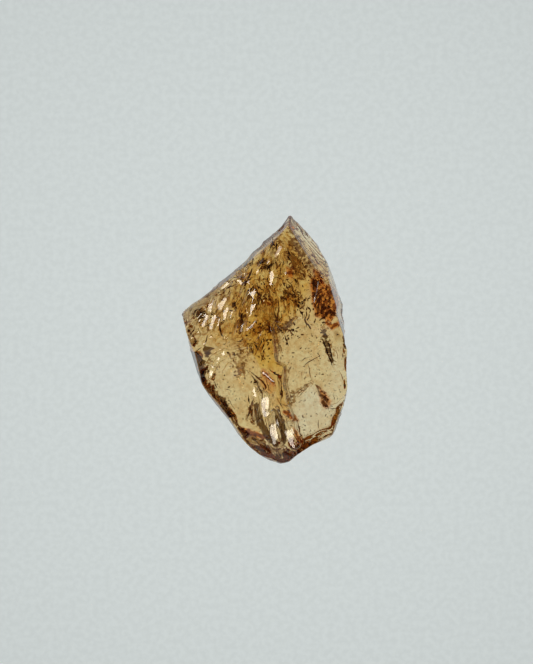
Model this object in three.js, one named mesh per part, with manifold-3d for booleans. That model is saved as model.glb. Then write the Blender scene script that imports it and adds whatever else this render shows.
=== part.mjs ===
// A broken piece of gem tourmaline, as it comes out of the ground: one clear solid, on its one flat side.
// It is made the way such a piece is: a blank with the stone's outline is broken all round, one face
// at a time, and the later, smaller breaks leave ledges, hackles, grooves and chips in the first ones.
// Millimetres, +Z up. The origin is under the middle of the stone, on the surface that it lies on.
import * as THREE from "three";
import { mergeVertices } from "three/addons/utils/BufferGeometryUtils.js";
import Module from "manifold-3d";

const LENGTH = 22.3; // along Y, from the blunt end to the point
const WIDTH = 14.85; // along X
const THICKNESS = 7.4; // the blank's height, which the upper breaks lower everywhere
const BREAK_SPAN = 30; // the size of a cutter, which reaches past the stone on every side
const BREAK_CELL = 0.5; // the grid of a curved break
const CLEAR = 9; // how far a cutter stands off the stone
const LEDGE_LEAN = 1.4; // how much wider a ledge's opening is than its foot, over the height CLEAR
const BALL_FACETS = 7; // how finely a chip's ball is cut
const HACKLE_SWING = 0.5; // how far hackles wander from straight, in radians of one groove
const HACKLE_EVEN = 0.7; // the mean depth of the grooves, as a share of the deepest
const HACKLE_RISE = 5; // the distance from the blow at which hackles reach their full depth

// The outline seen from above, clockwise from the point, in shares of half the width and half the length.
const OUTLINE = [
  [0.29, 1.0],
  [0.375, 0.953],
  [0.5, 0.857],
  [0.62, 0.757],
  [0.74, 0.612],
  [0.825, 0.467],
  [0.885, 0.322],
  [0.95, 0.19],
  [0.975, 0.125],
  [0.96, 0.06],
  [0.99, -0.045],
  [0.982, -0.24],
  [0.992, -0.385],
  [0.97, -0.475],
  [0.93, -0.565],
  [0.903, -0.66],
  [0.86, -0.735],
  [0.8, -0.792],
  [0.7, -0.82],
  [0.58, -0.847],
  [0.48, -0.89],
  [0.375, -0.937],
  [0.28, -0.985],
  [0.19, -1.0],
  [0.06, -0.984],
  [-0.05, -0.94],
  [-0.145, -0.888],
  [-0.225, -0.835],
  [-0.33, -0.758],
  [-0.44, -0.65],
  [-0.57, -0.549],
  [-0.69, -0.444],
  [-0.775, -0.34],
  [-0.85, -0.226],
  [-0.91, -0.08],
  [-0.925, 0.0],
  [-0.955, 0.073],
  [-0.998, 0.17],
  [-0.99, 0.235],
  [-0.935, 0.28],
  [-0.79, 0.332],
  [-0.63, 0.417],
  [-0.52, 0.484],
  [-0.39, 0.553],
  [-0.23, 0.645],
  [-0.155, 0.715],
  [-0.07, 0.755],
  [0.06, 0.851],
  [0.18, 0.935],
];

const HACKLE_ROOT = [1.0, 10.7]; // by the point, where the hackles of the pointed half fan out from
const BLUNT_ROOT = [1.7, -10.6]; // at the blunt end, where the grooves of the other half fan out from

const wasm = await Module();
wasm.setup();

function solidFrom(geometry) {
  const bare = geometry.clone();
  bare.deleteAttribute("normal");
  bare.deleteAttribute("uv");
  const merged = mergeVertices(bare, 1e-4);
  return new wasm.Manifold(
    new wasm.Mesh({
      numProp: 3,
      vertProperties: merged.attributes.position.array,
      triVerts: new Uint32Array(merged.index.array),
    }),
  );
}

function geometryFrom(solid) {
  const mesh = solid.getMesh();
  const geometry = new THREE.BufferGeometry();
  geometry.setAttribute("position", new THREE.BufferAttribute(mesh.vertProperties, 3));
  geometry.setIndex(new THREE.BufferAttribute(mesh.triVerts, 1));
  const faceted = geometry.toNonIndexed();
  faceted.computeVertexNormals();
  return faceted;
}

function blank() {
  const shape = new THREE.Shape(
    OUTLINE.map(([x, y]) => new THREE.Vector2((x * WIDTH) / 2, (y * LENGTH) / 2)),
  );
  return solidFrom(
    new THREE.ExtrudeGeometry(shape, { depth: THICKNESS, bevelEnabled: false }),
  );
}

// One break. It passes through a point. Its outward normal points to a bearing (0 is +X, 90 is +Y) and
// leans from straight up by a tilt. bow is its radius, dished if positive and domed if negative. Rings run
// round the blow that made it, and hackles run away from it: rounded grooves with sharp crests between.
function breakAlong(made) {
  const { through, bearing, tilt, bow = 0, blow = [0, 0] } = made;
  const { rings = 0, ringGap = 1.6, hackles = 0, hackleDepth = 0, cell = BREAK_CELL } = made;
  const turn = THREE.MathUtils.degToRad(bearing);
  const lean = THREE.MathUtils.degToRad(tilt);
  const east = blow[0] - through[0];
  const north = blow[1] - through[1];
  const blowU = (east * Math.cos(turn) + north * Math.sin(turn)) / Math.cos(lean);
  const blowV = north * Math.cos(turn) - east * Math.sin(turn);
  const isFlat = !bow && !rings && !hackles;
  const cells = isFlat ? 1 : Math.round(BREAK_SPAN / cell);
  const cutter = new THREE.BoxGeometry(BREAK_SPAN, BREAK_SPAN, CLEAR, cells, cells, 1);
  const at = cutter.attributes.position;
  for (let i = 0; i < at.count; i++) {
    if (at.getZ(i) > 0) {
      at.setZ(i, CLEAR);
      continue;
    }
    const u = at.getX(i);
    const v = at.getY(i);
    const away = Math.hypot(u - blowU, v - blowV);
    const angle = Math.atan2(v - blowV, u - blowU);
    const dish = bow ? (u * u + v * v) / (2 * bow) : 0;
    const ring = rings * Math.sin((2 * Math.PI * away) / ringGap);
    const swing = HACKLE_SWING * Math.sin(away);
    const groove = Math.abs(Math.sin(hackles * angle + swing));
    const strength = HACKLE_EVEN + (1 - HACKLE_EVEN) * Math.sin(5 * angle + away);
    const rise = Math.min(1, away / HACKLE_RISE);
    at.setZ(i, dish + ring - hackleDepth * groove * strength * rise);
  }
  const place = new THREE.Matrix4().makeRotationZ(turn);
  place.multiply(new THREE.Matrix4().makeRotationY(lean));
  place.setPosition(...through);
  cutter.applyMatrix4(place);
  return solidFrom(cutter);
}

// A ledge: a break that stops at a wall, which leans back. The outline is the wall's, at the height foot.
function ledge({ outline, foot, floor }) {
  const shape = new THREE.Shape(outline.map(([x, y]) => new THREE.Vector2(x, y)));
  const prism = new THREE.ExtrudeGeometry(shape, { depth: CLEAR, bevelEnabled: false });
  prism.computeBoundingBox();
  const middle = prism.boundingBox.getCenter(new THREE.Vector3());
  const at = prism.attributes.position;
  for (let i = 0; i < at.count; i++) {
    if (at.getZ(i) > 0) {
      at.setX(i, middle.x + (at.getX(i) - middle.x) * LEDGE_LEAN);
      at.setY(i, middle.y + (at.getY(i) - middle.y) * LEDGE_LEAN);
    }
  }
  prism.translate(0, 0, foot);
  return solidFrom(prism).intersect(breakAlong(floor));
}

// A groove between two points, widest and deepest halfway and running out at both ends.
function groove({ from, to, width, depth }) {
  const start = new THREE.Vector3(...from);
  const end = new THREE.Vector3(...to);
  const along = end.clone().sub(start);
  const across = new THREE.Vector3(-along.y, along.x, 0).normalize();
  const cutter = new THREE.OctahedronGeometry(1, 0);
  cutter.scale(along.length() / 2, width / 2, depth);
  along.normalize();
  const up = new THREE.Vector3().crossVectors(along, across);
  const place = new THREE.Matrix4().makeBasis(along, across, up);
  place.setPosition(start.add(end).multiplyScalar(0.5));
  cutter.applyMatrix4(place);
  return solidFrom(cutter);
}

// A chip off an edge: a shallow scoop, which is a piece of a ball.
function chip({ middle, radius }) {
  const ball = new THREE.IcosahedronGeometry(radius, BALL_FACETS);
  ball.translate(...middle);
  return solidFrom(ball);
}

const UPPER_BREAKS = [
  // the two natural prism faces down the upper right side, and the shoulder over the lower one
  { through: [4.0, 9.25, 1.3], bearing: 38, tilt: 69 },
  { through: [6.45, 4.0, 1.2], bearing: 17, tilt: 81 },
  { through: [5.85, 4.0, 4.75], bearing: 17, tilt: 30 },
  // the narrow face down the upper left side, to the left corner, and the two shoulders over it
  { through: [-4.4, 5.05, 2.3], bearing: 131, tilt: 75 },
  { through: [0.75, 8.9, 4.05], bearing: 129, tilt: 45 },
  { through: [-4.5, 4.3, 3.8], bearing: 146, tilt: 44 },
  // the slope up to the point
  {
    through: [0.9, 7.0, 5.0],
    bearing: 86,
    tilt: 19,
    bow: -30,
    blow: HACKLE_ROOT,
    hackles: 19,
    hackleDepth: 0.1,
  },
  // the left shoulder
  {
    through: [-4.4, 2.6, 4.4],
    bearing: 158,
    tilt: 27,
    bow: 22,
    blow: HACKLE_ROOT,
    hackles: 31,
    hackleDepth: 0.24,
    cell: 0.33,
  },
  // the left-hand window, dished and ringed
  {
    through: [-2.6, -4.0, 4.2],
    bearing: 214,
    tilt: 20,
    bow: 13,
    blow: [-1.35, -4.95],
    rings: 0.03,
    ringGap: 1.1,
  },
  // the right-hand slope
  { through: [4.6, -2.5, 5.0], bearing: -14, tilt: 16, bow: 46 },
  // the slope down to the blunt end
  {
    through: [1.4, -8.6, 3.9],
    bearing: 262,
    tilt: 30,
    bow: 16,
    blow: BLUNT_ROOT,
    hackles: 9,
    hackleDepth: 0.26,
    cell: 0.36,
  },
];

const SIDE_BREAKS = [
  // the steep sides above the undercut, from the left side round the blunt end
  { through: [-6.4, -2.4, 2.1], bearing: 196, tilt: 76, bow: 28 },
  { through: [-4.25, -6.25, 2.2], bearing: 218, tilt: 74, bow: 24 },
  { through: [0.5, -11.05, 1.8], bearing: 250, tilt: 70, bow: 20 },
  { through: [4.1, -10.05, 1.7], bearing: 303, tilt: 72, bow: 22 },
  { through: [7.0, -6.8, 1.7], bearing: 338, tilt: 74, bow: 20 },
];

const UPPER_LEDGES = [
  // the right-hand window, one step below the middle
  {
    outline: [
      [1.1, 1.3],
      [1.25, -0.6],
      [1.35, -2.0],
      [2.0, -2.35],
      [1.9, -4.0],
      [2.3, -5.4],
      [6.0, -9.0],
      [11.0, -8.0],
      [10.0, 2.4],
      [6.6, 1.5],
      [4.8, 1.1],
      [3.2, 1.7],
      [2.1, 0.8],
    ],
    foot: 3.9,
    floor: { through: [4.2, -2.0, 3.95], bearing: -72, tilt: 13, bow: 16 },
  },
  // the lower step, whose edge is scalloped
  {
    outline: [
      [2.2, -5.4],
      [3.1, -4.6],
      [4.2, -3.85],
      [4.75, -4.5],
      [5.1, -5.2],
      [5.7, -5.85],
      [6.4, -5.75],
      [7.2, -4.95],
      [9.0, -5.2],
      [8.0, -12.0],
      [3.2, -12.0],
      [2.6, -9.0],
      [2.7, -7.0],
    ],
    foot: 3.0,
    floor: { through: [5.0, -7.6, 2.15], bearing: -60, tilt: 8, bow: 14 },
  },
];

const LOWER_BREAKS = [
  // the underside of the pointed half, which lifts off the table towards the point
  {
    through: [0.6, 2.3, 0.1],
    bearing: 84,
    tilt: 180 - 11,
    bow: 60,
    blow: HACKLE_ROOT,
    hackles: 33,
    hackleDepth: 0.5,
    cell: 0.27,
  },
  // the underside of the right-hand window
  { through: [3.4, -3.0, 0.05], bearing: -8, tilt: 180 - 6, bow: 90, cell: 1 },
  // the undercut edges, from the left side round the blunt end to the point
  {
    through: [-4.2, -6.05, 2.3],
    bearing: 218,
    tilt: 180 - 66,
    bow: 50,
    blow: [-2, -9],
    rings: 0.05,
    ringGap: 1.3,
  },
  {
    through: [-6.4, -1.9, 2.2],
    bearing: 198,
    tilt: 180 - 68,
    bow: 60,
    blow: [-6, -4],
    rings: 0.04,
    ringGap: 1.1,
  },
  {
    through: [-7.2, 1.3, 0.9],
    bearing: 200,
    tilt: 180 - 42,
    bow: 20,
    blow: [-7, 4],
    rings: 0.05,
    ringGap: 1.2,
  },
  {
    through: [0.3, -10.9, 1.8],
    bearing: 246,
    tilt: 180 - 50,
    bow: 18,
    blow: BLUNT_ROOT,
    hackles: 7,
    hackleDepth: 0.25,
    cell: 0.4,
  },
  { through: [3.9, -9.7, 1.7], bearing: 303, tilt: 180 - 56, bow: 25 },
  { through: [6.9, -6.6, 1.7], bearing: 338, tilt: 180 - 60, bow: 25 },
  { through: [7.3, -1.5, 1.4], bearing: 0, tilt: 180 - 60, bow: 40 },
  { through: [6.4, 4.2, 1.2], bearing: 17, tilt: 180 - 50, bow: -40 },
  { through: [3.6, 9.7, 1.2], bearing: 50, tilt: 180 - 24 },
  { through: [0.1, 9.2, 2.0], bearing: 134, tilt: 180 - 36, bow: 24 },
  {
    through: [-4.6, 4.7, 0.8],
    bearing: 128,
    tilt: 180 - 46,
    bow: 24,
    blow: [-7, 4],
    rings: 0.06,
    ringGap: 1.2,
  },
];

const GROOVES = [
  // in the underside, fanning out from the blunt end
  { from: [-0.9, -3.4, 0], to: [2.7, -16.5, 0], width: 1.1, depth: 0.8 },
  { from: [0.6, -5.0, 0], to: [3.0, -17.0, 0], width: 1.3, depth: 1.0 },
  { from: [1.6, -5.4, 0], to: [5.4, -13.0, 0], width: 0.6, depth: 0.5 },
  { from: [-0.9, -1.6, 0], to: [2.2, -6.4, 0], width: 1.3, depth: 0.75 },
  // the hollows between the ridges of the blunt end, in the top
  { from: [0.55, -5.7, 5.4], to: [1.75, -10.2, 3.2], width: 1.1, depth: 1.5 },
  { from: [1.75, -6.2, 5.2], to: [3.15, -10.0, 3.0], width: 1.0, depth: 1.4 },
  { from: [-1.0, -5.2, 4.7], to: [-1.0, -8.0, 4.3], width: 0.6, depth: 1.1 },
  { from: [0.0, -3.9, 5.3], to: [0.15, -7.1, 4.9], width: 0.8, depth: 1.1 },
  // the notch in the right side
  { from: [7.3, 1.2, 3.2], to: [7.5, -1.7, 3.2], width: 0.9, depth: 3.0 },
];

const CHIPS = [
  // round the lower edge
  { middle: [-8.3, -0.9, 0.1], radius: 2.6 },
  { middle: [-5.9, -7.6, 4.6], radius: 1.9 },
  { middle: [-1.9, -11.4, 0.4], radius: 2.2 },
  { middle: [5.4, -11.4, 0.2], radius: 2.5 },
  { middle: [-2.9, 8.2, 0.2], radius: 2.0 },
  { middle: [-7.9, 4.1, 0.9], radius: 1.7 },
  { middle: [8.6, 5.2, 0.3], radius: 2.0 },
];

let stone = blank();
for (const made of [...UPPER_BREAKS, ...SIDE_BREAKS, ...LOWER_BREAKS]) {
  stone = stone.subtract(breakAlong(made));
}
for (const made of UPPER_LEDGES) {
  stone = stone.subtract(ledge(made));
}
for (const made of GROOVES) {
  stone = stone.subtract(groove(made));
}
for (const made of CHIPS) {
  stone = stone.subtract(chip(made));
}

const shape = geometryFrom(stone);
shape.computeBoundingBox();
const middle = shape.boundingBox.getCenter(new THREE.Vector3());
shape.translate(-middle.x, -middle.y, -shape.boundingBox.min.z);

const gem = new THREE.MeshStandardMaterial({ color: 0xb8863a, roughness: 0.08, metalness: 0 });
const part = new THREE.Group();
const mesh = new THREE.Mesh(shape, gem);
mesh.name = "tourmaline";
part.add(mesh);
export default part;
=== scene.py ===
import random
from math import cos, pi, radians, sin, sqrt

import bpy
import numpy as np
from mathutils import Matrix, Vector, noise


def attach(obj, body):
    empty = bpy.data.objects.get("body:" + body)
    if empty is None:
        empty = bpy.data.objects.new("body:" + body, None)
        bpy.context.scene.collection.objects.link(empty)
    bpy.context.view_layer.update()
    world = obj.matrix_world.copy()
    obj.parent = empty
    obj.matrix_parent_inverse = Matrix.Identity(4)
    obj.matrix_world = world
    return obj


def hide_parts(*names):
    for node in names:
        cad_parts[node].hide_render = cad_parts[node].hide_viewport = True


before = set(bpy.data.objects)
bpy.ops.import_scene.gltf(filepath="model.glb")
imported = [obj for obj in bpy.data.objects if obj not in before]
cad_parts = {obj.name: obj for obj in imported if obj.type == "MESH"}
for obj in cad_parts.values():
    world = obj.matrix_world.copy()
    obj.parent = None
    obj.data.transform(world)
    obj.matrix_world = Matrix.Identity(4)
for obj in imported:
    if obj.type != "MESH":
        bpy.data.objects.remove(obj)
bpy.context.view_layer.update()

MM = 0.001

# ---------------------------------------------------------------------------
# The crystal: one piece of clear golden tourmaline, broken from a larger crystal
# and never cut or polished. Its faces are glassy fractures, rippled, and combed
# into hackles under the point. Its rims are painted a darker brown, near black on
# the left, as shade where the glass's edges look dark. It lies loose.
# ---------------------------------------------------------------------------
CRYSTAL_GRAIN = 0.11 * MM  # the spacing of the mesh that carries the fine relief
MERGE_REACH = 0.001 * MM  # corners closer than this are one
REFRACTION = 1.63
GOLDEN = (0.944, 0.674, 0.013)
GOLDEN_DEPTH = 190  # how fast the colour deepens on the way through
FRACTURE_DULLNESS = 0.02
HACKLE_ROOT = (1.0, 10.7)  # by the point, where the hackles fan out from

# regions of the stone, seen from above, in millimetres
COMBED = [  # the hackled upper half
    (1.9, 8.7), (2.8, 8.15), (3.55, 7.05), (3.8, 6.5), (3.15, 5), (2.8, 3.65), (2.25, 2.55), (1.55, 1.65),
    (1.1, 0.95), (1.1, -0.5), (0.45, -1.05), (-0.25, -0.85), (-0.95, -0.85), (-2.25, -0.4), (-3.85, -0.15),
    (-5.1, -0.4), (-6.75, -0.4), (-7.25, 1.65), (-6.75, 2.75), (-5.3, 3.65), (-3.15, 5.45), (-1.35, 7.05),
    (-0.25, 8.15),
]
SHOULDER = [  # its left-hand slope
    (-7.1, 2.65), (-3.85, 5), (-1.35, 7.15), (0.3, 9.05), (0.9, 8.15), (-0.25, 4.55), (-1.35, 1.4),
    (-3.65, 0.5), (-5.45, 0.95), (-6.75, 1.4),
]
BEVEL = [  # the face with growth lines, along the upper right
    (2.1, 11.45), (7.05, 3.45), (6.75, 2.4), (6.4, 2), (6.3, 3.1), (5.6, 4.9), (4.8, 5.7), (3.7, 6.7),
    (2.65, 8.7), (2.25, 10.1),
]
GOLD_BAND = [  # the golden band down the middle
    (-1.15, 2.2), (-0.25, 2.75), (0.65, 2.2), (1.1, 0.95), (1.1, -1.85), (2, -2.2), (2, -4.1),
    (1.65, -5.2), (2.1, -6), (1.55, -6.15), (1.1, -5.2), (0.85, -3.9), (0.3, -3), (-0.35, -2.5),
    (-0.9, -1.4), (-1.4, -0.85), (-1.85, 0.5),
]
CLOUD = [  # where the glass is milky
    (2.1, 10.3), (2.8, 8.7), (3.7, 6.9), (4.15, 5.8), (4, 4.55), (3.45, 3.45), (2.8, 2.55), (2.1, 1.85),
    (1.2, 0.95), (1, 0.05), (-0.25, -0.5), (-1.7, -0.3), (-3.5, 0.05), (-5.1, -0.15), (-6.2, 0.2),
    (-6.75, 1.65), (-6.2, 2.4), (-4.55, 3.3), (-2.75, 5.1), (-1.15, 7.05), (0.45, 8.7),
]
FEATHERED = [  # where leaves of air lie inside
    (2.1, 9.4), (3.15, 7.05), (4, 5.45), (3.6, 3.65), (3, 2.55), (1.9, 1.65), (1.2, 0.75), (1, -0.4),
    (-0.25, -1.4), (-1.7, -1.05), (-3.5, -0.15), (-5.4, -0.25), (-6.55, 0.2), (-6.9, 1.5), (-6.2, 2.4),
    (-4.55, 3.45), (-2.75, 5.1), (-1.15, 7.05), (0.45, 8.7),
]
RIPPLED = [  # the left-hand window
    (-6.45, -5.2), (-5.55, -0.7), (-3.2, 0.2), (-0.8, -0.15), (-0.6, -2.4), (-2.6, -3), (-4.05, -6.25),
]
LEFT_SIDE = [(-7.65, 2.65), (-3.85, 2.2), (-4.2, -0.4), (-6.2, -1.05), (-7.25, 0.05)]
LOW_RIGHT = [(2.9, -8.6), (5.4, -6.8), (6.75, -5.35), (8.2, -6.35), (6.75, -9.4), (3, -11.2)]
HIGH_RIGHT = [(3, 10.65), (4.25, 9.4), (7.2, 4.55), (7.85, 2.55), (6.25, 2.9), (4.8, 7.05)]
RIGHT_EDGE = [(6.4, 0.95), (7.85, 0.95), (8.05, -5.55), (6.25, -5.55), (6.5, -2.2)]
# the smooth face below the step
CALM = [(1.2, 2.55), (3.15, 3.3), (6.3, 2.4), (7.2, 0.5), (6.6, -1.05), (3.15, -1.05), (1, -1.05)]
LEFT_FLOOR = [(-7.8, 2), (-3.5, 5.35), (-2.6, 3.65), (-4.2, -0.5), (-7.1, -0.85)]
PAINTED_FLASH = [  # the orange flash under the gold band, almond-shaped, painted into the glass as amber colour
    (-0.35, -2.55), (0.2, -2.95), (0.75, -3.65), (0.9, -4.45), (0.45, -4.75), (-0.05, -4.55),
    (-0.45, -3.85),
]
CLEAR = [  # the clear right-hand window
    (2.25, -7.15), (2.9, -5.55), (4.25, -3.9), (4.95, -4.65), (5.85, -3.55), (6.05, -0.85), (7.65, 0.05),
    (7.85, -5.8), (7.2, -7.6), (5.85, -8.95), (3.15, -9.15),
]
# bruised places that are dull: how dull, outline
FROSTED = [
    (0.18, [
        (0.1, -9.5), (1.35, -9.75), (2.25, -9.75), (3.15, -9.25), (4.25, -9.05), (5.5, -8.8), (5.85, -9.5),
        (4.25, -10.2), (3.15, -10.75), (1.9, -11.5), (0.1, -11.5),
    ]),
    (0.3, [(6.6, -6.1), (7.85, -6.1), (7.2, -8.6), (6.4, -9.3), (5.15, -9.7), (5.8, -8.4), (6.25, -7.6)]),
    (0.2, [
        (-5.1, -3.4), (-4.3, -4.2), (-3.15, -5.35), (-2.5, -7.15), (-1.7, -7.9), (-2.25, -8.25),
        (-3.65, -7.35), (-5.3, -5.35), (-5.85, -4.1),
    ]),
    (0.5, [
        (2.2, 10.65), (2.8, 9.75), (3.6, 8.3), (4.35, 7.05), (4.95, 5.8), (4.35, 5.7), (3.45, 6.9),
        (2.7, 7.8), (2.2, 9.2), (1.9, 10.1),
    ]),
    (0.6, [(5.35, -0.15), (5.6, -0.15), (5.95, -1.3), (5.8, -1.5)]),
    (0.9, [
        (-7.45, 1.75), (-7.35, 2.65), (-6.75, 3.2), (-5.85, 3.75), (-4.65, 4.55), (-4.05, 5.1),
        (-4.3, 4.25), (-4.95, 3.65), (-5.45, 3.1), (-6.2, 2.65), (-6.75, 2),
    ]),
    (0.6, [
        (-1.35, 7.7), (-0.25, 8.7), (0.3, 9.15), (1.35, 10.2), (2, 11), (1.8, 10.2), (0.9, 9.3),
        (-0.15, 8.3),
    ]),
    (0.5, [(0.3, 8.05), (1.1, 8.05), (1.2, 7.15), (0.3, 7.05)]),
    (0.35, [(4.15, 4.55), (4.8, 4.7), (4.95, 3.65), (4.8, 3.1), (4.45, 3.45)]),
    (0.3, [(5.95, -5.1), (6.85, -5), (6.75, -5.9), (6.05, -6)]),
    (0.35, [(5.8, 0.2), (6.15, 0.05), (6.6, -1.95), (6.25, -1.95)]),
    (0.3, [(-2.95, -7.5), (-2.25, -8.05), (-1.4, -9.25), (-1.85, -9.25), (-2.6, -8.4)]),
]
# dark patches: strength, outline; those on the left-hand rim are painted shade, the others dark stains
DARK_STAINS_AND_RIM_SHADE = [
    (0.6, [
        (4.5, -3.85), (4.9, -4.2), (5.35, -4.65), (5.7, -5.35), (5.8, -5.9), (5.5, -6.1), (5.15, -5.7),
        (4.9, -5),
    ]),
    # these three are painted shade on the left-hand rim, near black
    (1, [(-7.1, -0.85), (-6, -1.05), (-5.3, -1.95), (-5.3, -3.2), (-5.65, -3.9), (-6.75, -2.5)]),
    (0.97, [(-5.4, -0.3), (-4.5, -0.7), (-4.85, -1.05), (-5, -1.6), (-5.3, -1.4), (-5.45, -0.85)]),
    (0.95, [(-4.1, -4.8), (-3.5, -5.2), (-3.15, -6.1), (-2.75, -6.8), (-3.2, -7), (-3.85, -6)]),
    (0.9, [(-1.95, 7.05), (-1.5, 7.15), (-1.6, 6.5), (-1.95, 6.5)]),
    (0.9, [(-0.25, 6.5), (0.3, 6.7), (0.85, 6.95), (0.75, 6.6), (0.1, 6.25)]),
    (0.95, [(-2.3, 2.45), (-1.6, 2.3), (-1.6, 2), (-2.25, 2.1)]),
    (0.8, [
        (-0.95, -5.7), (-0.6, -5.35), (-0.35, -6.25), (-0.05, -7.35), (0.65, -8.4), (1.45, -9.6),
        (1, -9.6), (0.1, -8.8), (-0.6, -7.7), (-0.95, -6.8),
    ]),
    (0.8, [
        (0.75, -6.1), (1.2, -6.1), (1.75, -7), (2, -8.05), (1.9, -9.25), (1.65, -9.6), (1.35, -8.4),
        (1, -7.15),
    ]),
    (0.5, [(4.05, 5.25), (4.6, 5.45), (5.05, 4.55), (5.35, 3.3), (5.7, 2), (4.9, 1.75), (4.35, 2.9)]),
    (0.3, [(5.35, 4.9), (5.95, 4.65), (6.4, 3.2), (6.25, 2), (5.6, 1.85)]),
    (0.85, [(-2.95, 3.35), (-2.5, 3.45), (-2.6, 3), (-2.85, 2.9)]),
    (0.95, [(6.95, 0.6), (7.3, 0.2), (7.6, -0.75), (7.2, -0.75), (6.85, 0.15)]),
    (0.8, [(4.95, 1.05), (5.4, 1.05), (5.7, -0.05), (5.35, -0.25)]),
    (0.75, [(5.15, -0.05), (5.7, -0.05), (6.25, -1.95), (5.95, -2.1), (5.5, -1.2)]),
]
# brown patches: strength, outline; those along the rims are painted shade, the others brown stains
BROWN_STAINS_AND_RIM_SHADE = [
    (0.45, [
        (4.9, 1.3), (5.5, 1.5), (5.85, 0.2), (6.3, -1.05), (6.4, -2.3), (5.95, -2.3), (5.4, -1.05),
        (4.95, 0.05),
    ]),
    # painted shade along the upper right-hand rim
    (0.8, [
        (2.45, 11.2), (3.35, 10.2), (4.35, 9.2), (5.15, 8.15), (5.8, 6.9), (6.3, 5.6), (6.85, 4),
        (7.15, 2.55), (6.85, 2.45), (6.5, 3.9), (5.95, 5.45), (5.4, 6.7), (4.8, 7.95), (4, 9.05),
        (3, 10.05), (2.2, 10.95),
    ]),
    # painted shade along the left-hand rim
    (0.66, [
        (-7.35, 2.2), (-6.75, -0.4), (-6.2, -2.5), (-5.45, -4), (-4.3, -5.45), (-3.2, -6.9),
        (-2.15, -8.15), (-1.05, -9.4), (-1.7, -9.85), (-3.5, -8.05), (-5.45, -5.7), (-6.9, -3.2),
        (-7.8, 0.95),
    ]),
    # painted shade along the upper left-hand rim
    (0.9, [
        (-5.85, 4), (-4.2, 5.25), (-2.6, 6.5), (-1.35, 7.95), (-0.25, 8.75), (1, 9.95), (2.1, 11.3),
        (2.25, 10.95), (1.3, 9.65), (0, 8.5), (-1.05, 7.6), (-2.4, 6.15), (-3.95, 4.9), (-5.55, 3.65),
    ]),
    (0.34, [(0.3, 8.15), (1.35, 9.75), (2.1, 10.85), (2.45, 10.3), (2.1, 9.05), (1.75, 7.95), (1, 7.6)]),
    (0.5, [
        (1.9, -5.7), (2.25, -4.75), (3.35, -4), (4.15, -3.45), (4.45, -3.85), (3.6, -4.55), (2.9, -5.25),
        (2.25, -6.15),
    ]),
    (0.4, [
        (-3.3, -1.05), (-2.25, -0.7), (-1.4, -1.05), (-1.35, -2.3), (-1.7, -3.4), (-2.6, -3.4),
        (-3.15, -2.3),
    ]),
    (0.5, [
        (0.9, 2.2), (1.2, 2.2), (1.3, -1.85), (2.2, -2.2), (2.2, -4.45), (1.9, -4.45), (1.9, -2.5),
        (1, -1.95),
    ]),
    # painted shade inside the upper right-hand rim
    (0.6, [
        (1.75, 10.3), (2.25, 10.95), (2.9, 9.6), (3.6, 8.15), (4.35, 6.9), (3.8, 6.7), (3, 7.4),
        (2.45, 7.95), (1.9, 9.05),
    ]),
    # these four are painted shade on the left-hand rim
    (0.45, [(-5.4, -0.4), (-4.75, -1.05), (-4.55, -1.95), (-5.1, -2.65), (-5.3, -1.75)]),
    (0.7, [(-7, 0.6), (-6.45, 0.2), (-5.9, 0.05), (-5.9, -0.4), (-6.75, -0.6)]),
    (0.95, [(-6, -3.4), (-5.3, -3.3), (-4.55, -4.2), (-3.95, -5), (-4.4, -5.35), (-5.55, -4.3)]),
    (0.8, [(-4.95, -5), (-4.4, -5.2), (-3.5, -6.35), (-2.75, -7.15), (-3.3, -7.5), (-4.55, -5.9)]),
    # painted shade along the bottom rim
    (0.8, [
        (-2.6, -7.5), (-1.7, -8.05), (-0.25, -8.7), (0.3, -9.5), (1.35, -9.75), (2.25, -9.75),
        (3.15, -9.25), (4.25, -9.05), (5.5, -8.8), (5.5, -9.5), (4.25, -9.85), (3.15, -10.4),
        (2.25, -11.1), (1.45, -11.5), (0.3, -11.3), (-0.9, -10.6), (-1.95, -9.7),
    ]),
    # painted shade along the lower right-hand rim
    (0.8, [
        (6.75, -6.25), (7.4, -6.55), (7.05, -8.05), (6.4, -9.15), (5.35, -9.5), (5.8, -8.4), (6.25, -7.6),
        (6.6, -6.8),
    ]),
    (0.8, [(0.1, 1.85), (0.45, 1.75), (1.1, 0.75), (1, 0.15), (0.45, 0.5), (0.1, 1.1)]),
    (0.8, [(1, 1.1), (1.75, 1.5), (2.55, 1.95), (2.55, 1.5), (1.75, 0.95), (1.1, 0.6)]),
    (0.7, [(-4.1, 4.55), (-3.65, 4.65), (-3.3, 3.65), (-3.85, 3.35)]),
    (0.7, [(-1.8, 3.9), (-1.15, 4.35), (-0.7, 3.9), (-1.5, 3.65)]),
    (0.6, [(1.55, 4.7), (2.35, 4.7), (2.35, 3.55), (1.65, 3.55)]),
    (0.5, [(-1.35, 5.6), (0.3, 5.55), (0.1, 5.1), (-1.15, 5.1)]),
    (0.7, [(2.1, 8.5), (2.8, 7.95), (3.7, 6.5), (3.55, 5.45), (2.9, 5.45), (2.35, 6.7), (1.8, 7.6)]),
    (0.75, [(-2.4, -1.6), (-1.8, -1.65), (-1.6, -2.75), (-2.25, -3.1), (-2.5, -2.5)]),
    (0.6, [(2.25, -4.3), (2.9, -4.55), (3.1, -4.8), (2.65, -5.7), (2.2, -5.55)]),
    (0.5, [(-1.5, -5.7), (-0.95, -5.35), (-0.95, -6.1), (-1.4, -7.15), (-1.7, -7.15)]),
    (0.55, [(2.45, 3.9), (3.45, 4), (3.6, 3.1), (3.1, 2.75), (2.55, 3.2)]),
]
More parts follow.
